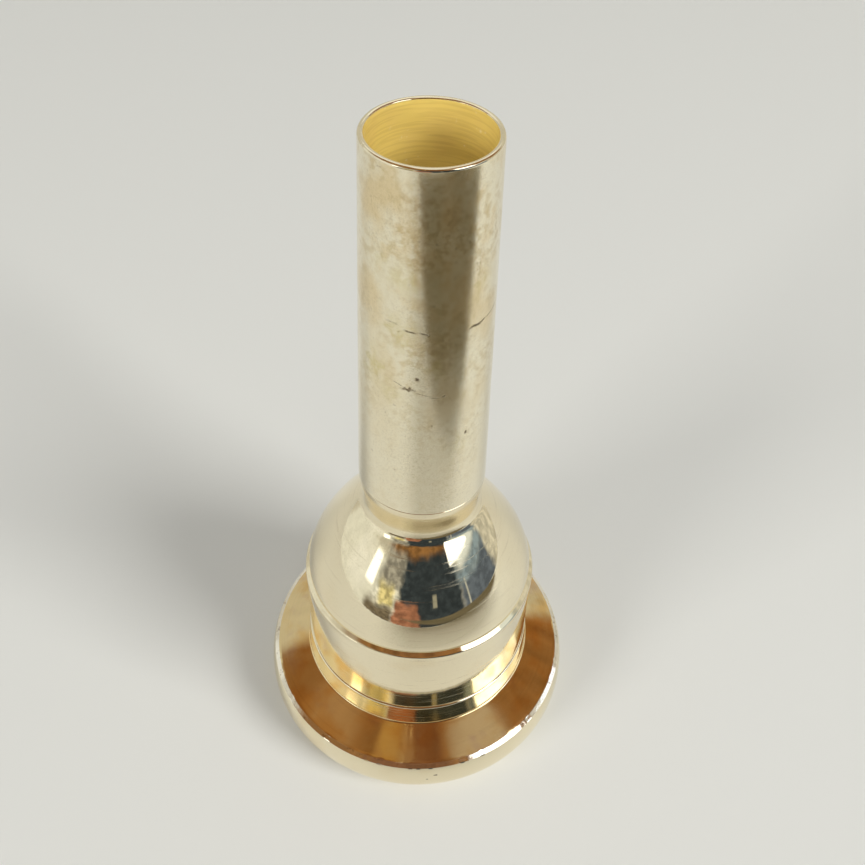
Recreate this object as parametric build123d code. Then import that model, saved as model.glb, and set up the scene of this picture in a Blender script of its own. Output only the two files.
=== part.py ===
from build123d import *
import os

# A screw-together mouthpiece for a low brass instrument: rim, cup and shank, turned from brass.
# Every piece is a solid of revolution about Z. The origin is the centre of the circle on which the
# rim touches the player's lips (or the table), and +Z runs towards the shank's tip. Millimetres.

# Overall sizes
overall_length = 84.4
seam_height = 12.5            # joint between rim and cup
shank_foot_height = 42.6      # joint between cup and shank
seam_chamfer = 0.12

# Rim: contact ring, flange and the short skirt above it
crest_inner_radius = 15.3     # the flat land that rests on a surface
crest_outer_radius = 17.2
bite_radius = 13.3            # inner edge of the rim
bite_height = 2.4
rim_radius = 20.65            # widest circle of the rim
rim_radius_height = 3.6
bevel_low_radius = 20.15
bevel_low_height = 6.5
bevel_high_radius = 19.6
bevel_high_height = 6.88
flange_foot_radius = 15.45    # where the flange's cone meets the skirt
flange_foot_height = 8.85
skirt_fillet = 0.35
skirt_top_radius = 14.86
skirt_ledge_radius = 14.64    # where the bevel round the skirt's top meets the seam
skirt_ledge_drop = 0.2

# Cup: plain band, ledge, dome and neck
band_low_radius = 14.68
band_high_radius = 14.58
band_top_height = 23.7
lip_radius = 14.61            # outer edge of the ledge between band and dome
lip_height = 24.42
dome_foot_radius = 14.1       # inner edge of the same ledge
dome_foot_height = 24.92
dome_top_radius = 7.4
dome_top_height = 36.8
waist_radius = 6.74
waist_height = 38.3
neck_top_radius = 7.32

# Shank: outside taper of about 1 in 20 on the diameter
shank_tip_radius = 6.25
tip_round = 0.25

# Air passage
bowl_foot_radius = 6.4        # where the bowl turns into the throat's funnel
bowl_foot_height = 24.4
throat_radius = 3.5
throat_start = 30.0
throat_length = 6.0
backbore_mouth_radius = 5.68
mouth_edge_break = 0.08

# Screw joints
radial_clearance = 0.08
end_gap = 0.2
spigot_chamfer = 0.3
rim_spigot_radius = 13.2
rim_spigot_length = 4.6
shank_spigot_radius = 5.3
thread_pitch = 1.0
thread_depth = 0.3
groove_half_width = 0.42
rim_thread_start = seam_height + 1.4
rim_thread_turns = 3
shank_thread_start = throat_start + 1.0
shank_thread_turns = 7

# How far a cutting shape runs past the surface that it cuts
overcut = 1.0
thread_overcut = 0.02


def section(*edges):
    """Close a chain of edges in the XZ half-plane into a face."""
    outline = Curve() + list(edges)
    return make_face(Plane.XZ * outline)


def turn(face):
    """Turn a half-section about Z into a solid."""
    return revolve(face, axis=Axis.Z)


def round_hole(radius, low, high):
    """Half-section of a plain round hole."""
    return section(Polyline((0, low), (radius, low), (radius, high), (0, high), (0, low)))


def thread_grooves(mouth_radius, bottom_radius, start, turns):
    """V-grooves, one for each turn of a thread, open at mouth_radius."""
    grooves = Sketch()
    for number in range(turns):
        middle = start + number * thread_pitch
        low_lip = (mouth_radius, middle - groove_half_width)
        high_lip = (mouth_radius, middle + groove_half_width)
        grooves += section(Polyline(low_lip, (bottom_radius, middle), high_lip, low_lip))
    return grooves


def external_thread(radius, start, turns):
    """Grooves cut inwards from a spigot."""
    return thread_grooves(radius + thread_overcut, radius - thread_depth, start, turns)


def internal_thread(radius, start, turns):
    """Grooves cut outwards from a socket."""
    return thread_grooves(radius - thread_overcut, radius + thread_depth, start, turns)


def air_passage():
    """Everything inside the bore, from below the rim to past the shank's tip."""
    crest = (crest_inner_radius, 0)
    bite = (bite_radius, bite_height)
    bowl_foot = (bowl_foot_radius, bowl_foot_height)
    throat_foot = (throat_radius, throat_start)
    throat_top = (throat_radius, throat_start + throat_length)
    mouth = (backbore_mouth_radius, overall_length - mouth_edge_break)
    mouth_lip_radius = backbore_mouth_radius + mouth_edge_break
    return section(
        Polyline((0, -overcut), (crest_inner_radius, -overcut), crest),
        Bezier(crest, (crest_inner_radius - 1.3, 0), (bite_radius, bite_height - 1.5), bite),
        Bezier(bite, (bite_radius - 0.7, bite_height + 10.6), (10.6, bowl_foot_height - 4.2), bowl_foot),
        Bezier(bowl_foot, (4.5, bowl_foot_height + 1.85), (throat_radius, throat_start - 2.2), throat_foot),
        Line(throat_foot, throat_top),
        Bezier(throat_top, (throat_radius, 44), (5.15, 66), mouth),
        Polyline(
            mouth,
            (mouth_lip_radius, overall_length),
            (mouth_lip_radius, overall_length + overcut),
            (0, overall_length + overcut),
            (0, -overcut),
        ),
    )


def rim_outside():
    """Contact ring, flange and skirt, solid to the axis, with the spigot that enters the cup."""
    crest = (crest_outer_radius, 0)
    widest = (rim_radius, rim_radius_height)
    bevel_low = (bevel_low_radius, bevel_low_height)
    flange_foot = (flange_foot_radius, flange_foot_height)
    skirt_low_radius = flange_foot_radius - skirt_fillet
    skirt_foot = (skirt_low_radius, flange_foot_height + skirt_fillet)
    spigot_top = seam_height + rim_spigot_length
    return section(
        Line((0, 0), crest),
        Bezier(crest, (crest_outer_radius + 1.9, 0), (rim_radius, 1.6), widest),
        Bezier(widest, (rim_radius, 4.9), (bevel_low_radius + 0.3, bevel_low_height - 0.6), bevel_low),
        Polyline(bevel_low, (bevel_high_radius, bevel_high_height), flange_foot),
        Bezier(flange_foot, (skirt_low_radius, flange_foot_height + 0.15), skirt_foot),
        Polyline(
            skirt_foot,
            (skirt_top_radius, seam_height - skirt_ledge_drop),
            (skirt_ledge_radius, seam_height),
            (rim_spigot_radius, seam_height),
            (rim_spigot_radius, spigot_top - spigot_chamfer),
            (rim_spigot_radius - spigot_chamfer, spigot_top),
            (0, spigot_top),
            (0, 0),
        ),
    )


def cup_outside():
    """Band, ledge, dome and neck, solid to the axis."""
    band_top = (band_high_radius, band_top_height)
    lip = (lip_radius, lip_height)
    dome_foot = (dome_foot_radius, dome_foot_height)
    dome_top = (dome_top_radius, dome_top_height)
    waist = (waist_radius, waist_height)
    neck_top = (neck_top_radius, shank_foot_height - seam_chamfer)
    return section(
        Polyline(
            (0, seam_height),
            (band_low_radius - seam_chamfer, seam_height),
            (band_low_radius, seam_height + seam_chamfer),
            band_top,
        ),
        Bezier(band_top, (band_high_radius, band_top_height + 0.25), (lip_radius, lip_height - 0.3), lip),
        Line(lip, dome_foot),
        Bezier(dome_foot, (14.2, dome_foot_height + 3.38), (10.5, dome_top_height - 3.2), dome_top),
        Bezier(dome_top, (6.95, dome_top_height + 0.5), (waist_radius, waist_height - 0.5), waist),
        Bezier(waist, (waist_radius, waist_height + 1.4), (7.25, waist_height + 2.5), neck_top),
        Polyline(
            neck_top,
            (neck_top_radius - seam_chamfer, shank_foot_height),
            (0, shank_foot_height),
            (0, seam_height),
        ),
    )


def shank_outside():
    """Tapered shank and its threaded spigot, solid to the axis."""
    spigot_foot = throat_start
    tip = (shank_tip_radius, overall_length - tip_round)
    end_face = (shank_tip_radius - tip_round, overall_length)
    return section(
        Polyline(
            (0, spigot_foot),
            (shank_spigot_radius - spigot_chamfer, spigot_foot),
            (shank_spigot_radius, spigot_foot + spigot_chamfer),
            (shank_spigot_radius, shank_foot_height),
            (neck_top_radius - seam_chamfer, shank_foot_height),
            (neck_top_radius, shank_foot_height + seam_chamfer),
            tip,
        ),
        Bezier(tip, (shank_tip_radius, overall_length), end_face),
        Polyline(end_face, (0, overall_length), (0, spigot_foot)),
    )


def make_rim():
    """Screw-on rim with the first part of the bowl inside."""
    thread = external_thread(rim_spigot_radius, rim_thread_start, rim_thread_turns)
    return turn(rim_outside() - air_passage() - thread)


def make_cup():
    """Cup with a threaded socket for the rim below and one for the shank in its neck."""
    rim_socket_radius = rim_spigot_radius + radial_clearance
    rim_socket_top = seam_height + rim_spigot_length + end_gap
    rim_socket = round_hole(rim_socket_radius, seam_height - overcut, rim_socket_top)
    rim_thread = internal_thread(rim_socket_radius, rim_thread_start, rim_thread_turns)
    shank_socket_radius = shank_spigot_radius + radial_clearance
    shank_socket_foot = throat_start - end_gap
    shank_socket = round_hole(shank_socket_radius, shank_socket_foot, shank_foot_height + overcut)
    shank_thread = internal_thread(shank_socket_radius, shank_thread_start, shank_thread_turns)
    hollow = cup_outside() - air_passage() - rim_socket - shank_socket
    return turn(hollow - rim_thread - shank_thread)


def make_shank():
    """Shank with the throat, the backbore and the spigot that screws into the cup's neck."""
    thread = external_thread(shank_spigot_radius, shank_thread_start, shank_thread_turns)
    return turn(shank_outside() - air_passage() - thread)


os.makedirs("parts", exist_ok=True)
pieces = {"rim": make_rim(), "cup": make_cup(), "shank": make_shank()}
for name, piece in pieces.items():
    export_step(piece, f"parts/{name}.step")
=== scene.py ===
from math import cos, radians, sin

import bpy
import numpy as np
from mathutils import Matrix, Vector


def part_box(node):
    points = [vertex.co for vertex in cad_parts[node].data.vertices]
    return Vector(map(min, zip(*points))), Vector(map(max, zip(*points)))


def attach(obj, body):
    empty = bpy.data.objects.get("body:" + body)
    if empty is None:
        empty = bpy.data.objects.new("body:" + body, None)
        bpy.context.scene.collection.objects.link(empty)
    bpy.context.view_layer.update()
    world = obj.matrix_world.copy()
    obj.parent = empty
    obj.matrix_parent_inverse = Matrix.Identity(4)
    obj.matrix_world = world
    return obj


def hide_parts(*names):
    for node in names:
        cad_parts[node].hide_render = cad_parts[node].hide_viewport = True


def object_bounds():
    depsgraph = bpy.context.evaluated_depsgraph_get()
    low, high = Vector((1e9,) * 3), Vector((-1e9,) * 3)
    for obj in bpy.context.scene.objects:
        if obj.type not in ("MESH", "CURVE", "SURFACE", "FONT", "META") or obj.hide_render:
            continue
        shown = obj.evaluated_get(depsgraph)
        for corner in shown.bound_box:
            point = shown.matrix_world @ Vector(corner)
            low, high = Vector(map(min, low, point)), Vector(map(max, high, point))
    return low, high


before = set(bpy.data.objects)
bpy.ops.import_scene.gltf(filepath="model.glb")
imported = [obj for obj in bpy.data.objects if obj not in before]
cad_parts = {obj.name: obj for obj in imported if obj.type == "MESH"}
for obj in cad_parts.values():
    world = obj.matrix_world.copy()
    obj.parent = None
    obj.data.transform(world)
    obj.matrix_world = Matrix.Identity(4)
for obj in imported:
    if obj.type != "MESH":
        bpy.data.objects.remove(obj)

# A silver-plated brass mouthpiece in three turned pieces, standing on its rim in a small studio.
# Outlines are in millimetres, (radius, height), and the meshes are made in metres.
# Azimuth is measured about +Z from the camera's side: 0 faces the camera and 90 is at its right.

cad_low, cad_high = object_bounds()

MM = 0.001   # metres in a millimetre

# Sizes read from the frame
overall_length = (cad_high.z - cad_low.z) / MM
rim_radius = min(-cad_low.x, -cad_low.y, cad_high.x, cad_high.y) / MM
seam_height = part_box("cup")[0].z / MM
shank_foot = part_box("cup")[1].z / MM
rim_spigot_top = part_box("rim")[1].z / MM
shank_spigot_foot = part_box("shank")[0].z / MM

# Rim
crest_inner_radius = 15.3     # the flat land that rests on the table
crest_outer_radius = 17.2
bite_radius = 13.3            # inner edge of the rim
bite_height = 2.4
rim_radius_height = 3.6
bevel_low_radius = 20.15
bevel_low_height = 6.5
bevel_high_radius = 19.6
bevel_high_height = 6.88
flange_foot_radius = 15.45
flange_foot_height = 8.85
skirt_foot_radius = 15.10
skirt_foot_height = 9.20
skirt_top_radius = 14.86
skirt_ledge_radius = 14.64    # where the bevel round the skirt's top meets the seam
skirt_ledge_drop = 0.24

# Cup
seam_chamfer = 0.045
band_low_radius = 14.68
band_high_radius = 14.58
band_top_height = 23.7
lip_radius = 14.61            # outer edge of the ledge between band and dome
lip_height = 24.35
ledge_radius = 14.55          # where the rounded lip turns into the ledge
ledge_height = 24.52
dome_foot_radius = 14.10
dome_foot_height = 24.92
dome_top_radius = 7.4
dome_top_height = 36.8
waist_radius = 6.74
waist_height = 38.3
neck_top_radius = 7.32

# Shank
shank_tip_radius = 6.25
tip_drop = 0.30               # from the highest circle down to the end of the taper
crown_radius = 5.98           # the highest circle of the rounded tip
mouth_radius = 5.68
mouth_drop = 0.16

# Air passage
bowl_foot_radius = 6.4
bowl_foot_height = 24.4
throat_radius = 3.5
throat_start = 30.0
throat_end = 36.0

# Screw joints
radial_clearance = 0.08
end_gap = 0.2
spigot_chamfer = 0.3
rim_spigot_radius = 13.2
shank_spigot_radius = 5.3
thread_pitch = 1.0
thread_depth = 0.28
groove_half_width = 0.42
thread_fade = 0.5             # length over which a thread starts and ends
rim_thread_reach = (0.9, 4.0)       # lowest and highest point of the thread, above the seam
shank_thread_reach = (0.5, 7.6)     # the same for the other thread, above the spigot's foot

# Straight steps round each piece
round_steps = {"rim": 480, "cup": 320, "shank": 300}


# Outlines -----------------------------------------------------------------------------------------

def line(start, end, steps=1):
    """Points from start to end, without the last one."""
    share = np.arange(steps)[:, None] / steps
    return np.array(start) * (1 - share) + np.array(end) * share


def bezier(start, first, second, end, steps):
    """Points of a cubic curve, without the last one."""
    t = np.arange(steps)[:, None] / steps
    near = (1 - t) ** 3 * np.array(start) + 3 * (1 - t) ** 2 * t * np.array(first)
    far = 3 * (1 - t) * t ** 2 * np.array(second) + t ** 3 * np.array(end)
    return near + far


def chain(*corners, steps=1):
    """Straight runs through the corners, without the last one."""
    return np.vstack([line(a, b, steps) for a, b in zip(corners, corners[1:])])


def bowl_line():
    """Inside of the cup from the bite to the throat, rising."""
    bite = (bite_radius, bite_height)
    foot = (bowl_foot_radius, bowl_foot_height)
    throat = (throat_radius, throat_start)
    bowl = bezier(bite, (12.6, 13.0), (10.6, 20.2), foot, 90)
    funnel = bezier(foot, (4.5, 26.25), (throat_radius, 27.8), throat, 24)
    return np.vstack([bowl, funnel, [throat]])


def between(points, low, high):
    """The part of a rising line between two heights, with a point at each."""
    apart = 0.02   # keeps a point of the line from standing almost on an end
    inner = points[(points[:, 1] > low + apart) & (points[:, 1] < high - apart)]
    ends = [(np.interp(height, points[:, 1], points[:, 0]), height) for height in (low, high)]
    return np.vstack([ends[:1], inner, ends[1:]])


def rim_outline():
    """Side of the rim, flange, skirt and threaded spigot, then down the bowl and over the bite."""
    crest, land = (crest_outer_radius, 0), (crest_inner_radius, 0)
    widest = (rim_radius, rim_radius_height)
    bevel_low = (bevel_low_radius, bevel_low_height)
    bevel_high = (bevel_high_radius, bevel_high_height)
    flange_foot = (flange_foot_radius, flange_foot_height)
    skirt_foot = (skirt_foot_radius, skirt_foot_height)
    skirt_top = (skirt_top_radius, seam_height - skirt_ledge_drop)
    ledge_turn, ledge_end = (14.74, 12.44), (skirt_ledge_radius, seam_height)
    spigot_low = (rim_spigot_radius, seam_height)
    spigot_high = (rim_spigot_radius, rim_spigot_top - spigot_chamfer)
    spigot_end = (rim_spigot_radius - spigot_chamfer, rim_spigot_top)
    bore = between(bowl_line(), bite_height, rim_spigot_top)[::-1]
    bite = (bite_radius, bite_height)
    return [
        ("plate", bezier(crest, (19.1, 0), (rim_radius, 1.6), widest, 22)),
        ("plate", bezier(widest, (rim_radius, 4.9), (20.45, 5.9), bevel_low, 14)),
        ("edge", line(bevel_low, bevel_high, 6)),
        ("flange", line(bevel_high, flange_foot, 12)),
        ("flange", bezier(flange_foot, (15.25, 8.93), (15.10, 9.03), skirt_foot, 6)),
        ("band", line(skirt_foot, skirt_top, 8)),
        ("ledge", bezier(skirt_top, (skirt_top_radius, 12.34), (14.82, 12.37), ledge_turn, 4)),
        ("ledge", line(ledge_turn, ledge_end, 2)),
        ("brass", line(ledge_end, spigot_low, 2)),
        ("thread_out", line(spigot_low, spigot_high, 44)),
        ("brass", chain(spigot_high, spigot_end, tuple(bore[0]))),
        ("bowl", bore[:-1]),
        ("plate", bezier(bite, (bite_radius, 0.9), (14.0, 0), land, 16)),
        ("plate", line(land, crest, 2)),
    ]


def cup_outline():
    """Band, ledge, dome and neck, then down through the neck's socket, the bowl and the rim's socket."""
    band_edge = (band_low_radius - seam_chamfer, seam_height)
    band_foot = (band_low_radius, seam_height + seam_chamfer)
    band_top = (band_high_radius, band_top_height)
    lip, ledge = (lip_radius, lip_height), (ledge_radius, ledge_height)
    dome_foot = (dome_foot_radius, dome_foot_height)
    dome_top = (dome_top_radius, dome_top_height)
    waist = (waist_radius, waist_height)
    neck_top = (neck_top_radius, shank_foot - seam_chamfer)
    neck_edge = (neck_top_radius - seam_chamfer, shank_foot)
    neck_socket = shank_spigot_radius + radial_clearance
    neck_floor = shank_spigot_foot - end_gap
    socket = rim_spigot_radius + radial_clearance
    socket_top = rim_spigot_top + end_gap
    bowl = between(bowl_line(), socket_top, neck_floor)
    return [
        ("band", line(band_edge, band_foot)),
        ("band", line(band_foot, band_top, 14)),
        ("band", bezier(band_top, (band_high_radius, 23.95), (lip_radius, 24.1), lip, 8)),
        ("ledge", bezier(lip, (lip_radius, 24.43), (14.60, 24.47), ledge, 6)),
        ("ledge", line(ledge, dome_foot, 4)),
        ("dome", bezier(dome_foot, (14.2, 28.3), (10.5, 33.6), dome_top, 48)),
        ("dome", bezier(dome_top, (6.95, 37.3), (waist_radius, 37.8), waist, 10)),
        ("neck", bezier(waist, (waist_radius, 39.7), (7.25, 40.8), neck_top, 12)),
        ("neck", line(neck_top, neck_edge)),
        ("brass", line(neck_edge, (neck_socket, shank_foot), 2)),
        ("thread_in", line((neck_socket, shank_foot), (neck_socket, neck_floor), 72)),
        ("brass", line((neck_socket, neck_floor), tuple(bowl[-1]), 2)),
        ("bowl", bowl[::-1][:-1]),
        ("brass", line(tuple(bowl[0]), (socket, socket_top), 2)),
        ("thread_in", line((socket, socket_top), (socket, seam_height), 44)),
        ("brass", line((socket, seam_height), band_edge, 2)),
    ]


def shank_outline():
    """Spigot, taper and rounded tip, then down the backbore and the throat."""
    spigot_start = (throat_radius, shank_spigot_foot)
    spigot_corner = (shank_spigot_radius - spigot_chamfer, shank_spigot_foot)
    spigot_low = (shank_spigot_radius, shank_spigot_foot + spigot_chamfer)
    spigot_high = (shank_spigot_radius, shank_foot)
    shank_edge = (neck_top_radius - seam_chamfer, shank_foot)
    foot = (neck_top_radius, shank_foot + seam_chamfer)
    tip = (shank_tip_radius, overall_length - tip_drop)
    crown = (crown_radius, overall_length)
    mouth = (mouth_radius, overall_length - mouth_drop)
    throat_top = (throat_radius, throat_end)
    return [
        ("brass", chain(spigot_start, spigot_corner, spigot_low)),
        ("thread_out", line(spigot_low, spigot_high, 86)),
        ("brass", line(spigot_high, shank_edge, 2)),
        ("shank", line(shank_edge, foot)),
        ("shank", line(foot, tip, 70)),
        ("lip", bezier(tip, (shank_tip_radius, 84.25), (6.14, overall_length), crown, 10)),
        ("lip", bezier(crown, (5.85, overall_length), (5.72, 84.36), mouth, 8)),
        ("bore", bezier(mouth, (5.15, 66), (throat_radius, 44), throat_top, 120)),
        ("bore", line(throat_top, spigot_start, 8)),
    ]


# Relief on the turned surfaces --------------------------------------------------------------------
# Angles here are in radians from the +X axis.

def thread_relief(height, angle, low, high):
    """Depth of a right-handed V-thread, fading out at both ends."""
    turn = (height - low) / thread_pitch - angle / (2 * np.pi)
    offset = np.abs((turn + 0.5) % 1.0 - 0.5) * thread_pitch
    groove = np.clip(1 - offset / groove_half_width, 0, 1)
    start = np.clip((height - low) / thread_fade, 0, 1)
    end = np.clip((high - height) / thread_fade, 0, 1)
    return thread_depth * groove * (start * end)


def thread_span(height):
    """Lowest and highest point of the thread that this height belongs to."""
    near_rim = height < rim_spigot_top + 0.5
    base, reach = (seam_height, rim_thread_reach) if near_rim else (shank_spigot_foot, shank_thread_reach)
    return base + reach[0], base + reach[1]


def nicks(angle, seed, count, widest, deepest):
    """Depth of small dents at random places round an edge: widest in degrees, deepest in millimetres."""
    chance = np.random.default_rng(seed)
    depth = np.zeros_like(angle)
    for middle in chance.uniform(-np.pi, np.pi, count):
        width = radians(chance.uniform(0.3, widest))
        away = (angle - middle + np.pi) % (2 * np.pi) - np.pi
        depth = np.maximum(depth, chance.uniform(0.2, 1) * deepest * np.exp(-((away / width) ** 2)))
    return depth


def relief(zone, height, angle):
    """How far each vertex of a zone moves outwards, in millimetres."""
    if zone == "thread_out":
        return -thread_relief(height, angle, *thread_span(height[0, 0]))
    if zone == "thread_in":
        return thread_relief(height, angle, *thread_span(height[0, 0]))
    if zone == "edge":
        return -nicks(angle, seed=7, count=60, widest=0.8, deepest=0.05)
    if zone == "lip":
        return -nicks(angle, seed=11, count=14, widest=1.8, deepest=0.03)
    return np.zeros_like(angle)


def turned_piece(name, outline, steps, finishes):
    """A closed mesh turned about Z from an outline of (zone, points), one material for each finish."""
    points = np.vstack([part for _, part in outline])
    zones = [zone for zone, part in outline for _ in part]
    angle = np.tile(np.arange(steps) * 2 * np.pi / steps, (len(points), 1))
    radius = np.tile(points[:, :1], (1, steps))
    height = np.tile(points[:, 1:], (1, steps))
    first = 0
    for zone, part in outline:
        rows = slice(first, first + len(part))
        radius[rows] += relief(zone, height[rows], angle[rows])
        first += len(part)
    place = np.stack([radius * np.cos(angle), radius * np.sin(angle), height], axis=-1) * MM

    row, column = np.meshgrid(np.arange(len(points)), np.arange(steps), indexing="ij")
    next_row, next_column = (row + 1) % len(points), (column + 1) % steps
    corners = [
        row * steps + column,
        row * steps + next_column,
        next_row * steps + next_column,
        next_row * steps + column,
    ]
    faces = np.stack(corners, axis=-1).reshape(-1, 4)

    mesh = bpy.data.meshes.new(name)
    mesh.from_pydata(place.reshape(-1, 3).tolist(), [], faces.tolist())
    names = list(dict.fromkeys(finishes[zone] for zone in zones))
    for finish in names:
        mesh.materials.append(bpy.data.materials[finish])
    indices = np.repeat([names.index(finishes[zone]) for zone in zones], steps)
    mesh.polygons.foreach_set("material_index", indices.astype(np.int32))
    mesh.shade_smooth()
    mesh.set_sharp_from_angle(angle=radians(24))
    mesh.validate()
    mesh.update()
    piece = bpy.data.objects.new(name, mesh)
    bpy.context.scene.collection.objects.link(piece)
    return piece


# Node helpers -------------------------------------------------------------------------------------

def put(tree, socket, value):
    """Links an output to a socket, or sets a plain value on it."""
    if isinstance(value, bpy.types.NodeSocket):
        tree.links.new(value, socket)
    else:
        socket.default_value = value


def put_colour(tree, socket, value):
    """The same for a colour, which may be a tuple of three."""
    put(tree, socket, value if isinstance(value, bpy.types.NodeSocket) else (*value, 1))


def node(tree, kind, settings=None, **inputs):
    """A new shader node. An underscore in an input's name stands for a space."""
    made = tree.nodes.new("ShaderNode" + kind)
    for name, value in (settings or {}).items():
        setattr(made, name, value)
    for name, value in inputs.items():
        put(tree, made.inputs[name.replace("_", " ")], value)
    return made


def sums(tree, operation, *values):
    """Output of a Math node."""
    made = node(tree, "Math", {"operation": operation})
    for socket, value in zip(made.inputs, values):
        put(tree, socket, value)
    return made.outputs[0]


def vectors(tree, operation, *values, scale=None):
    """Output of a Vector Math node."""
    made = node(tree, "VectorMath", {"operation": operation})
    for socket, value in zip(made.inputs, values):
        put(tree, socket, value)
    if scale is not None:
        put(tree, made.inputs["Scale"], scale)
    return made.outputs["Value" if operation == "DOT_PRODUCT" else "Vector"]


def blend(tree, share, first, second):
    """Colour between first and second."""
    made = node(tree, "Mix", {"data_type": "RGBA"}, Factor=share)
    put_colour(tree, made.inputs[6], first)
    put_colour(tree, made.inputs[7], second)
    return made.outputs[2]


def ramp(tree, value, low, high, start=0.0, end=1.0):
    """Smooth step from start to end as value goes from low to high."""
    made = node(tree, "MapRange", {"interpolation_type": "SMOOTHSTEP"}, Value=value,
                From_Min=low, From_Max=high, To_Min=start, To_Max=end)
    return made.outputs["Result"]


def azimuth_from(tree, x, y):
    """Azimuth in degrees of a place or a direction."""
    return sums(tree, "DEGREES", sums(tree, "ARCTAN2", x, sums(tree, "MULTIPLY", y, -1.0)))


class Finish:
    """A material whose nodes work in millimetres on the piece's own coordinates."""

    def __init__(self, name):
        self.material = bpy.data.materials.new(name)
        self.material.use_nodes = True
        self.tree = self.material.node_tree
        self.tree.nodes.clear()
        place = node(self.tree, "TexCoord").outputs["Object"]
        self.place = self.vector("SCALE", place, scale=1 / MM)
        self.x, self.y, self.z = node(self.tree, "SeparateXYZ", Vector=self.place).outputs
        self.radius = self.of("SQRT", self.plus(self.times(self.x, self.x), self.times(self.y, self.y)))

    def of(self, operation, *values):
        return sums(self.tree, operation, *values)

    def times(self, first, *others):
        """Product of all the values."""
        for other in others:
            first = self.of("MULTIPLY", first, other)
        return first

    def plus(self, first, *others):
        """Sum of all the values."""
        for other in others:
            first = self.of("ADD", first, other)
        return first

    def vector(self, operation, *values, scale=None):
        return vectors(self.tree, operation, *values, scale=scale)

    def step(self, value, low, high, start=0.0, end=1.0):
        return ramp(self.tree, value, low, high, start, end)

    def mix(self, share, first, second):
        return blend(self.tree, share, first, second)

    def noise(self, size, detail=3.0, stretch=(1, 1, 1), shift=0.0):
        """Noise with features about size millimetres across, longer along an axis with stretch below 1."""
        moved = self.vector("MULTIPLY_ADD", self.place, stretch, (shift, shift, shift))
        return node(self.tree, "TexNoise", Vector=moved, Scale=1 / size, Detail=detail).outputs[0]

    def rings(self, spacing, along, wander=0.02):
        """Uneven rings round the axis, as a turning tool leaves, along the height or the radius."""
        place = node(self.tree, "CombineXYZ",
                     X=self.times(self.x, wander / spacing),
                     Y=self.times(self.y, wander / spacing),
                     Z=self.of("DIVIDE", along, spacing))
        return node(self.tree, "TexNoise", Vector=place.outputs[0], Scale=1.0, Detail=2.0).outputs[0]

    def grain(self, size=0.22, most=0.10):
        """Share of darker grain, uneven from place to place."""
        fine = self.step(self.noise(size, detail=2.0, shift=40.0), 0.45, 0.75)
        amount = self.step(self.noise(4.0, detail=2.0, shift=13.0), 0.35, 0.7, 0.3 * most, most)
        return self.times(fine, amount)

    def mark(self, azimuth, height, radius, length, width, tilt, core):
        """Mask of a scratch or, with length near width, a spot, solid over the share core of its size."""
        side, slope = radians(azimuth), radians(tilt)
        out = Vector((sin(side), -cos(side), 0))
        along = Vector((cos(side), sin(side), 0)) * cos(slope) + Vector((0, 0, sin(slope)))
        over = along.cross(out)
        centre = out * radius + Vector((0, 0, height))
        wobble = self.times(self.of("SUBTRACT", self.noise(0.9, detail=2.0), 0.5), width * 2.2)
        lengthwise = self.vector("DOT_PRODUCT", self.place, along)
        reach = self.of("ABSOLUTE", self.of("SUBTRACT", lengthwise, along.dot(centre)))
        crosswise = self.vector("DOT_PRODUCT", self.place, over)
        drift = self.of("ABSOLUTE", self.plus(self.of("SUBTRACT", crosswise, over.dot(centre)), wobble))
        inside = self.step(reach, length * core, length * 0.65, 1.0, 0.0)
        narrow = self.step(drift, width * core, width * 0.65, 1.0, 0.0)
        facing = self.of("GREATER_THAN", self.vector("DOT_PRODUCT", self.place, out), 0.0)
        return self.times(inside, narrow, facing)

    def marks(self, radius, places, core=0.2):
        """Union of several marks, each (azimuth, height, length, width, tilt, strength)."""
        total = 0.0
        for azimuth, height, length, width, tilt, strength in places:
            mask = self.mark(azimuth, height, radius, length, width, tilt, core)
            total = self.of("MAXIMUM", total, self.times(mask, strength))
        return total

    def bump(self, height, depth, under=None):
        """Normal from a height between 0 and 1 that stands for depth millimetres."""
        made = node(self.tree, "Bump", Strength=1.0, Distance=depth * MM, Height=height)
        if under is not None:
            put(self.tree, made.inputs["Normal"], under)
        return made.outputs[0]

    def show(self, surface):
        """Makes a shader the surface of the material."""
        output = node(self.tree, "OutputMaterial")
        self.tree.links.new(surface.outputs[0], output.inputs["Surface"])

    def metal(self, colour, roughness, normal, metallic=1.0):
        shader = node(self.tree, "BsdfPrincipled", Metallic=metallic, Roughness=roughness, Normal=normal)
        put_colour(self.tree, shader.inputs["Base Color"], colour)
        self.show(shader)


# Materials ----------------------------------------------------------------------------------------

silver = (0.93, 0.84, 0.62)
worn_silver = (0.95, 0.88, 0.68)
bright_silver = (0.95, 0.89, 0.76)
amber = (0.84, 0.66, 0.36)
ochre = (0.70, 0.56, 0.30)
gold = (0.72, 0.62, 0.27)
rust = (0.58, 0.41, 0.17)
umber = (0.30, 0.19, 0.09)
soot = (0.15, 0.105, 0.06)
straw = (0.92, 0.75, 0.44)
orange = (0.84, 0.51, 0.15)
plum = (0.62, 0.42, 0.40)
brass = (0.74, 0.56, 0.15)
dull_brass = (0.72, 0.52, 0.16)
pale_brass = (0.84, 0.76, 0.50)
ring_shadow = (0.46, 0.31, 0.07)

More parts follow.
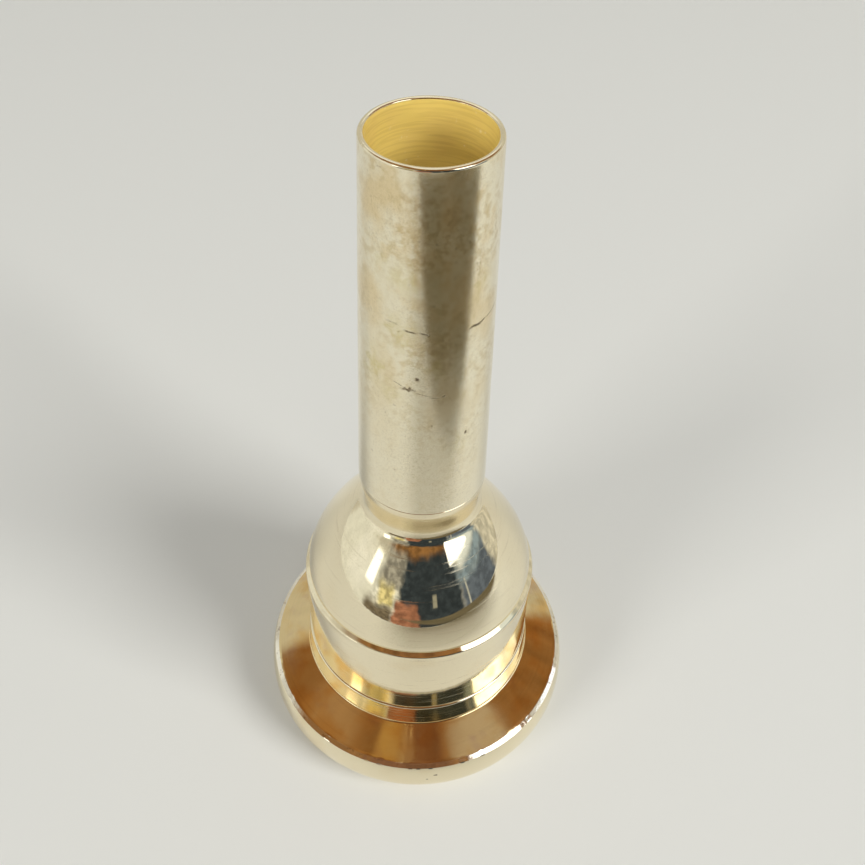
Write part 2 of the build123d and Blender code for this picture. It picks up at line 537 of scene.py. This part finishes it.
# Marks on the shank and the rim: azimuth, height, length, width, tilt, strength
golden_marks = (
    (-46, 62.5, 6.0, 3.0, 85, 1.0),
    (-22, 67.5, 4.5, 4.0, 60, 0.9),
    (-29, 60.0, 3.6, 2.8, 10, 0.7),
    (-16, 73.5, 4.0, 3.0, 80, 0.7),
    (-40, 75.0, 4.5, 1.8, 75, 0.5),
    (9, 63.6, 3.0, 2.6, 0, 0.9),
    (47, 72.5, 4.5, 1.6, 65, 0.6),
    (30, 53.0, 4.0, 3.0, 40, 0.4),
)
rusty_marks = (
    (-12, 81.0, 3.0, 2.6, 70, 1.0),
    (-8, 76.0, 5.5, 2.0, 88, 1.0),
    (-17, 78.6, 3.2, 2.4, 40, 0.7),
    (45, 74.5, 4.5, 1.3, 82, 1.0),
    (50, 79.5, 2.2, 1.2, 60, 0.7),
    (19, 80.0, 3.6, 3.0, 20, 0.6),
    (14, 64.6, 3.0, 3.2, 0, 0.55),
    (6, 56.1, 0.8, 0.7, 60, 0.5),
    (51, 77.5, 2.4, 0.7, 62, 0.5),
    (58, 73.5, 2.2, 0.6, 66, 0.4),
    (-31, 79.8, 2.4, 0.8, -55, 0.35),
    (-40, 76.0, 2.6, 0.7, -60, 0.3),
    (-28, 72.5, 2.0, 0.8, -50, 0.3),
    (39, 81.2, 1.5, 1.3, 10, 0.6),
    (-34, 67.0, 2.6, 2.2, 20, 0.35),
    (-10, 71.5, 3.0, 2.0, 80, 0.3),
)
dark_scratches = (
    (46, 67.7, 2.3, 0.30, 4, 0.85),
    (66, 67.9, 3.4, 0.14, 6, 0.7),
    (-12, 68.0, 1.3, 0.22, -5, 0.75),
    (-1, 67.9, 0.9, 0.22, -12, 0.75),
    (-28, 68.6, 1.3, 0.22, -8, 0.3),
    (-13, 60.9, 1.5, 0.34, -6, 0.85),
    (-12, 60.9, 0.34, 0.50, 0, 1.0),
    (-22, 61.4, 1.2, 0.10, -22, 0.6),
    (0, 60.4, 2.0, 0.09, -15, 0.45),
    (10, 60.0, 1.2, 0.10, 0, 0.4),
    (16, 60.2, 0.4, 0.34, 20, 0.5),
    (-6, 62.3, 0.42, 0.48, 0, 0.85),
    (38, 54.1, 0.34, 0.40, 0, 0.8),
)
rim_specks = (
    (8, 5.2, 0.55, 0.30, 8, 0.8),
    (5, 4.3, 0.30, 0.30, 0, 0.75),
    (-64, 3.0, 0.5, 0.3, 30, 0.4),
    (118, 4.0, 0.7, 0.25, -12, 0.5),
    (171, 2.6, 0.5, 0.35, 12, 0.5),
)
soft_core = -0.3   # a mark with this core is soft all over


def polished_plate(name, roughness, tarnish, along="z", line_depth=0.0006):
    """Bright silver plate, with faint tarnish, hairlines from polishing and soft turning rings."""
    finish = Finish(name)
    cloud = finish.step(finish.noise(7.0, detail=4.0), 0.48, 0.72)
    hairs = finish.noise(0.3, detail=5.0, stretch=(0.05, 0.05, 1.0), shift=3.0)
    hairs = finish.step(hairs, 0.56, 0.72)
    colour = finish.mix(finish.times(cloud, tarnish), silver, amber)
    colour = finish.mix(finish.times(hairs, 0.10), colour, umber)
    colour = finish.mix(finish.grain(), colour, umber)
    rough = finish.plus(finish.times(cloud, 0.04), roughness, finish.times(hairs, 0.20))
    rings = finish.rings(0.25, finish.z if along == "z" else finish.radius)
    soft = finish.bump(finish.noise(2.5, detail=2.0), 0.0016)
    finish.metal(colour, rough, finish.bump(rings, line_depth, soft))


def shank_tarnish(finish):
    """Share of amber tarnish, which gathers near the tip."""
    rise = finish.step(finish.z, shank_foot + 6, overall_length - 6, 0.15, 1.0)
    clouds = finish.step(finish.noise(3.6, detail=5.0, stretch=(1.0, 1.0, 0.6)), 0.45, 0.68)
    streaks = finish.noise(1.5, detail=4.0, stretch=(1.0, 0.6, 0.8), shift=9.0)
    streaks = finish.times(finish.step(streaks, 0.50, 0.72), 0.7)
    return finish.times(finish.of("MAXIMUM", clouds, streaks), rise)


def shank_mottle(finish):
    """Share of small darker clouds, fading towards the shank's foot."""
    mottle = finish.step(finish.noise(0.8, detail=5.0, shift=51.0), 0.44, 0.64)
    uneven = finish.step(finish.noise(4.5, detail=2.0, shift=61.0), 0.36, 0.62, 0.12, 0.55)
    higher = finish.step(finish.z, shank_foot + 6, shank_foot + 24, 0.30, 1.0)
    return finish.times(mottle, uneven, higher)


def shank_plate():
    """Worn silver plate: tarnish, stains, rubbed rings, pits and dark scratches."""
    finish = Finish("shank_silver")
    middle = 6.75   # radius half-way up the taper
    tarnish = shank_tarnish(finish)
    colour = finish.mix(finish.times(tarnish, 0.7), worn_silver, amber)
    colour = finish.mix(shank_mottle(finish), colour, ochre)
    colour = finish.mix(finish.marks(middle, golden_marks, soft_core), colour, gold)
    colour = finish.mix(finish.marks(middle, rusty_marks, soft_core), colour, rust)
    ragged = finish.step(finish.noise(0.3, detail=3.0, shift=3.0), 0.35, 0.6, 0.6, 1.0)
    scratches = finish.times(finish.marks(middle, dark_scratches), ragged)
    colour = finish.mix(scratches, colour, soot)
    colour = finish.mix(finish.grain(0.20, 0.24), colour, umber)
    specks = finish.step(finish.noise(0.55, detail=2.0, shift=21.0), 0.70, 0.78)
    colour = finish.mix(finish.times(specks, 0.35), colour, umber)
    worn = finish.step(finish.noise(5.0), 0.3, 0.7, 0.14, 0.19)
    rough = finish.plus(finish.times(tarnish, 0.06), worn, finish.times(scratches, 0.35))
    soft = finish.bump(finish.noise(1.6, detail=3.0), 0.004)
    rubbed = finish.bump(finish.rings(0.12, finish.z), 0.0010, soft)
    finish.metal(colour, rough, finish.bump(scratches, -0.004, rubbed))


def flange_plate():
    """Turned cone with amber tarnish, faint rings and a purple bloom where the plate has oxidised."""
    finish = Finish("flange_silver")
    clouds = finish.step(finish.noise(5.0, detail=4.0), 0.40, 0.66)
    bloom = finish.step(finish.noise(4.0, detail=3.0, shift=31.0), 0.52, 0.70)
    rings = finish.rings(0.30, finish.radius)
    colour = finish.mix(finish.times(clouds, 0.7), straw, orange)
    colour = finish.mix(finish.times(bloom, 0.30), colour, plum)
    colour = finish.mix(finish.step(rings, 0.52, 0.75, 0.0, 0.10), colour, umber)
    rough = finish.step(finish.noise(3.0, detail=4.0, shift=5.0), 0.3, 0.7, 0.07, 0.14)
    soft = finish.bump(finish.noise(2.0, detail=3.0), 0.003)
    finish.metal(colour, rough, finish.bump(rings, 0.0007, soft))


def edge_plate():
    """Bevel round the flange, knocked and bright, with specks of dark dirt."""
    finish = Finish("edge_silver")
    dirt = finish.step(finish.noise(0.6, detail=4.0, shift=2.0), 0.58, 0.70)
    colour = finish.mix(finish.times(dirt, 0.45), bright_silver, umber)
    small = finish.bump(finish.noise(0.45, detail=4.0), 0.006)
    large = finish.bump(finish.noise(1.8, detail=2.0, shift=8.0), 0.007, small)
    finish.metal(colour, 0.09, large)


def rim_plate():
    """Side and contact face of the rim: clean plate with a few dark specks near the foot."""
    finish = Finish("rim_silver")
    cloud = finish.step(finish.noise(6.0, detail=4.0, shift=4.0), 0.50, 0.74)
    colour = finish.mix(finish.times(cloud, 0.3), silver, amber)
    colour = finish.mix(finish.marks(rim_radius - 0.2, rim_specks), colour, soot)
    rough = finish.plus(finish.times(cloud, 0.05), 0.11)
    finish.metal(colour, rough, finish.bump(finish.noise(3.0, detail=2.0), 0.003))


def bare_brass(name, roughness, ring_spacing, ring_depth, residue, metallic):
    """Unplated brass with tool rings and patches of residue, dull ones and small pale ones."""
    finish = Finish(name)
    rings = finish.rings(ring_spacing, finish.z, wander=0.05)
    dull = finish.step(finish.noise(2.4, detail=2.0, shift=6.0), 0.42, 0.75)
    pale = finish.step(finish.noise(0.9, detail=3.0, shift=17.0), 0.66, 0.74)
    colour = finish.mix(finish.times(dull, residue), brass, dull_brass)
    colour = finish.mix(finish.times(pale, residue), colour, pale_brass)
    colour = finish.mix(finish.step(rings, 0.44, 0.60, 0.0, 0.24), colour, ring_shadow)
    rough = finish.plus(finish.times(dull, 0.12), roughness)
    soft = finish.bump(finish.noise(1.5, detail=1.0), 0.004)
    finish.metal(colour, rough, finish.bump(rings, ring_depth, soft), metallic)


polished_plate("dome_silver", roughness=0.035, tarnish=0.15)
polished_plate("band_silver", roughness=0.055, tarnish=0.35)
polished_plate("neck_silver", roughness=0.10, tarnish=0.45)
polished_plate("lip_silver", roughness=0.07, tarnish=0.2, along="r")
polished_plate("bowl_silver", roughness=0.09, tarnish=0.3, line_depth=0.0015)
shank_plate()
flange_plate()
edge_plate()
rim_plate()
bare_brass("bore_brass", roughness=0.42, ring_spacing=0.24, ring_depth=0.02, residue=0.45,
           metallic=0.12)
bare_brass("thread_brass", roughness=0.22, ring_spacing=0.2, ring_depth=0.002, residue=0.3,
           metallic=0.85)

finish_of_zone = {
    "plate": "rim_silver",
    "edge": "edge_silver",
    "flange": "flange_silver",
    "band": "band_silver",
    "ledge": "band_silver",
    "dome": "dome_silver",
    "neck": "neck_silver",
    "shank": "shank_silver",
    "lip": "lip_silver",
    "bowl": "bowl_silver",
    "bore": "bore_brass",
    "brass": "thread_brass",
    "thread_out": "thread_brass",
    "thread_in": "thread_brass",
}


# The three pieces ---------------------------------------------------------------------------------

outlines = {"rim": rim_outline(), "cup": cup_outline(), "shank": shank_outline()}
for name, outline in outlines.items():
    piece = turned_piece(name + "_turned", outline, round_steps[name], finish_of_zone)
    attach(piece, name)
    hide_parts(name)


# Studio -------------------------------------------------------------------------------------------

def plain_material(name, colour, roughness):
    material = bpy.data.materials.new(name)
    material.use_nodes = True
    shader = material.node_tree.nodes["Principled BSDF"]
    shader.inputs["Base Color"].default_value = (*colour, 1)
    shader.inputs["Roughness"].default_value = roughness
    shader.inputs["Specular IOR Level"].default_value = 0.2
    return material


def rectangle(left, front, right, back):
    """Corners whose sheet faces upwards."""
    return [(left, front), (right, front), (right, back), (left, back)]


def flat_sheet(name, corners, height, material):
    """A flat stage piece from its corners, (x, y) in millimetres."""
    mesh = bpy.data.meshes.new(name)
    mesh.from_pydata([(x * MM, y * MM, height * MM) for x, y in corners], [], [range(len(corners))])
    mesh.materials.append(material)
    sheet = bpy.data.objects.new(name, mesh)
    bpy.context.scene.collection.objects.link(sheet)
    return sheet


def seen_only_in_reflections(sheet):
    sheet.visible_camera = False
    sheet.visible_diffuse = False
    sheet.visible_shadow = False
    sheet.visible_transmission = False
    sheet.visible_volume_scatter = False


def card_material(name, look):
    """A card that reflections see from its front only. look gives its colour and how solid it is."""
    finish = Finish(name)
    colour, share = look(finish)
    glow = node(finish.tree, "Emission", Strength=1.0)
    put_colour(finish.tree, glow.inputs["Color"], colour)
    clear = node(finish.tree, "BsdfTransparent")
    from_front = finish.of("SUBTRACT", 1.0, node(finish.tree, "NewGeometry").outputs["Backfacing"])
    mixed = node(finish.tree, "MixShader", Fac=finish.times(share, from_front))
    finish.tree.links.new(clear.outputs[0], mixed.inputs[1])
    finish.tree.links.new(glow.outputs[0], mixed.inputs[2])
    finish.show(mixed)
    return finish.material


def front_shade(finish):
    """Grows with the distance in front of the object and fades towards the sides."""
    share = finish.of("MINIMUM", finish.of("MULTIPLY_ADD", finish.radius, 0.0034, 0.20), 0.75)
    ahead = finish.step(finish.times(finish.y, -1.0), 12.0, 48.0)
    azimuth = azimuth_from(finish.tree, finish.x, finish.y)
    middle = finish.times(finish.step(azimuth, -38, 0), finish.step(azimuth, 45, 90, 1.0, 0.0))
    return (0.16, 0.13, 0.08), finish.times(share, ahead, middle)


def painted_shadow_stripe(finish):
    """Painted shadow on the table in front and to the right, seen only in reflections: solid far out,
    fading towards the object and at both sides.
    """
    near = finish.step(finish.radius, 24.0, 64.0, 0.25, 1.0)
    edge = finish.of("MULTIPLY_ADD", finish.y, 0.60, 38.0)
    left = finish.step(finish.of("SUBTRACT", finish.x, edge), -5.0, 5.0)
    right = finish.step(finish.times(finish.y, -1.0), 17.0, 27.0)
    patchy = finish.step(finish.noise(30.0), 0.3, 0.7)
    return finish.mix(patchy, (0.18, 0.15, 0.10), (0.14, 0.12, 0.075)), finish.times(near, left, right)


def window_glow(finish):
    """Strong in the middle of its arc, and weaker at the side away from the camera."""
    azimuth = azimuth_from(finish.tree, finish.x, finish.y)
    rise = finish.step(azimuth, 38.0, 46.0)
    weaken = finish.step(azimuth, 72.0, 82.0, 1.0, 0.4)
    fall = finish.step(azimuth, 96.0, 106.0, 1.0, 0.0)
    return (2.5, 2.8, 3.3), finish.times(rise, weaken, fall)


# The floor isn't seen in reflections. The table top, with an edge, stands there for it.
floor_material = plain_material("floor_paper", (0.81, 0.806, 0.762), 0.6)
floor_reach = 12000
floor_corners = rectangle(-floor_reach, -floor_reach, floor_reach, floor_reach)
floor = flat_sheet("floor", floor_corners, 0.0, floor_material)
floor.visible_glossy = False
table_top = flat_sheet("table_top", rectangle(-520, -205, 620, 600), 0.03, floor_material)
seen_only_in_reflections(table_top)

# Name, corners, height and look. The last one faces downwards.
cards = (
    ("front_shade", rectangle(-180, -200, 180, 0), 0.5, front_shade),
    # The stripe card carries a painted shadow: a dark sheet standing for the shade on the table in front,
    # which the shank reflects.
    ("stripe_card", [(-50, -125), (135, -125), (125, -15), (-10, -15)], 25.0, painted_shadow_stripe),
    ("glow_card", [(250, 30), (250, -220), (45, -40), (60, 10)], 24.0, window_glow),
)
for name, corners, height, look in cards:
    seen_only_in_reflections(flat_sheet(name, corners, height, card_material(name, look)))

# The room that reflections see, in patches: colour, azimuth range, elevation range and softness, with
# angles in degrees. Later patches cover earlier ones.
room_colour = (0.56, 0.54, 0.47)
room = (
    ((0.76, 0.77, 0.72), (-116, -20), (-10, 23), 2.5),      # bright wall at the left
    ((0.86, 0.87, 0.84), (-82, -58), (0, 17), 6),
    ((0.30, 0.29, 0.26), (-44, -18), (13, 32), 4),          # dim clutter beside it
    ((0.62, 0.55, 0.28), (-40, -24), (2, 14), 3),
    ((0.17, 0.14, 0.10), (-50, -22), (-14, 2), 3),
    ((0.036, 0.046, 0.056), (-19, 44), (-18, 33), 3),       # dark end of the room
    ((0.11, 0.135, 0.18), (44, 88), (-18, 12), 3),
    ((0.22, 0.29, 0.36), (42, 90), (10, 18), 3),
    ((0.33, 0.15, 0.095), (-22, 1), (-14, 7), 1.5),         # a brown chair
    ((0.25, 0.125, 0.045), (-116, 134), (29, 76), 3),       # warm ceiling
    ((0.18, 0.085, 0.04), (-32, 26), (36, 76), 4),
    ((0.85, 0.85, 0.82), (-181, -128), (34, 76), 5),        # pale wall behind
    ((0.85, 0.85, 0.82), (142, 181), (34, 76), 5),
    ((0.25, 0.125, 0.045), (98, 131), (17, 34), 3),
    ((0.36, 0.22, 0.11), (-92, -52), (45, 60), 5),
)
# Windows, lamps and light from above, in the same form. Their edges stay straight.
windows = (
    ((0.95, 0.95, 0.93), (-181, 181), (76, 91), 3),         # pale light straight above
    ((0.46, 0.38, 0.29), (32, 74), (47, 63), 4),
    ((0.78, 0.84, 0.86), (48, 86), (17, 27), 2),            # lower part of the window at the right
    ((2.4, 2.45, 2.5), (38, 72), (21, 44), 1.2),            # window at the right
    ((2.0, 2.0, 1.95), (-58, -48), (8, 22), 1.6),           # window at the left
    ((0.42, 0.25, 0.08), (-34, -13), (54, 68), 3),          # lamplight on the ceiling
    ((1.2, 1.0, 0.6), (-10, -9), (50, 68), 0.6),            # two narrow lamps
    ((0.9, 0.75, 0.45), (-4, -3), (54, 66), 0.5),
    ((0.34, 0.33, 0.27), (14, 18), (5, 12), 0.6),           # two glints at the dark end
    ((0.52, 0.53, 0.50), (49, 50.5), (-8, 12), 0.5),
)
even_light = (0.26, 0.26, 0.255)    # what matt surfaces are lit by
backdrop = (0.66, 0.66, 0.63)       # what the camera sees past the floor


def patch_over(tree, colour, azimuth, elevation, patches):
    """Lays soft-edged patches over a colour."""
    for shade, (left, right), (low, high), soft in patches:
        across = sums(tree, "MULTIPLY", ramp(tree, azimuth, left - soft, left + soft),
                      ramp(tree, azimuth, right - soft, right + soft, 1.0, 0.0))
        upward = sums(tree, "MULTIPLY", ramp(tree, elevation, low - soft, low + soft),
                      ramp(tree, elevation, high - soft, high + soft, 1.0, 0.0))
        colour = blend(tree, sums(tree, "MULTIPLY", across, upward), colour, shade)
    return colour


def wavered(tree, angle, way, size, reach):
    """An angle pushed about by noise, so that edges in the room aren't straight."""
    push = node(tree, "TexNoise", Vector=way, Scale=size, Detail=3.0).outputs[0]
    return sums(tree, "MULTIPLY_ADD", sums(tree, "SUBTRACT", push, 0.5), reach, angle)


def clutter(tree, azimuth, way):
    """How much brighter the room is here and there, least on the bright wall at the left."""
    spots = node(tree, "TexNoise", Vector=way, Scale=9.0, Detail=6.0).outputs[0]
    past_wall = ramp(tree, azimuth, -52, -36, 0.12, 1.0)
    amount = sums(tree, "MULTIPLY", past_wall, ramp(tree, azimuth, -20, -6, 1.0, 0.6))
    return sums(tree, "MULTIPLY", amount, ramp(tree, spots, 0.35, 0.70, -0.30, 0.6))


def sky():
    """Light from all round: even for matt surfaces, a backdrop for the camera, a room for reflections."""
    world = bpy.data.worlds.new("studio")
    bpy.context.scene.world = world
    world.use_nodes = True
    tree = world.node_tree
    tree.nodes.clear()
    way = node(tree, "TexCoord").outputs["Generated"]
    x, y, z = node(tree, "SeparateXYZ", Vector=way).outputs
    azimuth = azimuth_from(tree, x, y)
    elevation = sums(tree, "DEGREES", sums(tree, "ARCSINE", z))
    squat = vectors(tree, "MULTIPLY", way, (1.0, 1.0, 2.2))
    loose_azimuth = wavered(tree, azimuth, squat, 3.0, 14.0)
    loose_elevation = wavered(tree, elevation, squat, 4.0, 9.0)
    colour = patch_over(tree, room_colour, loose_azimuth, loose_elevation, room)
    brighter = sums(tree, "ADD", 1.0, clutter(tree, azimuth, squat))
    colour = vectors(tree, "SCALE", colour, scale=brighter)
    colour = patch_over(tree, colour, azimuth, elevation, windows)
    ray = node(tree, "LightPath").outputs
    seen = blend(tree, ray["Is Camera Ray"], even_light, backdrop)
    seen = blend(tree, ray["Is Glossy Ray"], seen, colour)
    background = node(tree, "Background", Color=seen, Strength=1.0)
    output = node(tree, "OutputWorld")
    tree.links.new(background.outputs[0], output.inputs["Surface"])


def soft_light(name, azimuth, elevation, distance, size, power, colour, only=()):
    """An area light aimed at the object, kept out of reflections. It may light some pieces only."""
    lamp = bpy.data.lights.new(name, "AREA")
    lamp.shape = "RECTANGLE"
    lamp.size, lamp.size_y = size
    lamp.energy = power
    lamp.color = colour
    light = bpy.data.objects.new(name, lamp)
    side, up = radians(azimuth), radians(elevation)
    light.location = Vector((sin(side) * cos(up), -cos(side) * cos(up), sin(up))) * distance
    light.rotation_euler = light.location.to_track_quat("Z", "Y").to_euler()
    light.visible_glossy = False
    bpy.context.scene.collection.objects.link(light)
    if only:
        lit = bpy.data.collections.new(name + "_lights")
        for piece_name in only:
            lit.objects.link(bpy.data.objects[piece_name])
        light.light_linking.receiver_collection = lit


sky()
far = 2.4   # metres
soft_light("window_right", 60, 32, far, size=(1.1, 0.8), power=43.0, colour=(1.0, 1.0, 0.99))
soft_light("window_left", -49, 17, far, size=(0.9, 0.6), power=31.0, colour=(1.0, 0.99, 0.97))
soft_light("front_fill", 4, 60, far, size=(0.8, 0.8), power=5.0, colour=(1.0, 1.0, 0.98))
soft_light("bore_fill", -10, 56, 0.5, size=(0.40, 0.30), power=0.72, colour=(1.0, 0.98, 0.94),
           only=["shank_turned"])


# Camera -------------------------------------------------------------------------------------------

def camera():
    """Looks down at the object from the front, a hand's breadth away."""
    place = (0, -0.07131, 0.12297)
    pitch, yaw, roll = radians(46.40), radians(0.84), radians(2.24)
    ahead = Vector((sin(yaw) * cos(pitch), cos(yaw) * cos(pitch), -sin(pitch)))
    right = Vector((cos(yaw), -sin(yaw), 0))
    up = right.cross(ahead)
    turned_right = right * cos(roll) + up * sin(roll)
    turned_up = up * cos(roll) - right * sin(roll)
    data = bpy.data.cameras.new("camera")
    data.lens = 38.755
    data.sensor_width = 36.0
    data.clip_start = 0.005
    made = bpy.data.objects.new("camera", data)
    pose = Matrix((turned_right, turned_up, -ahead)).transposed().to_4x4()
    pose.translation = place
    made.matrix_world = pose
    bpy.context.scene.collection.objects.link(made)
    bpy.context.scene.camera = made


camera()
bpy.context.scene.view_settings.view_transform = "Standard"
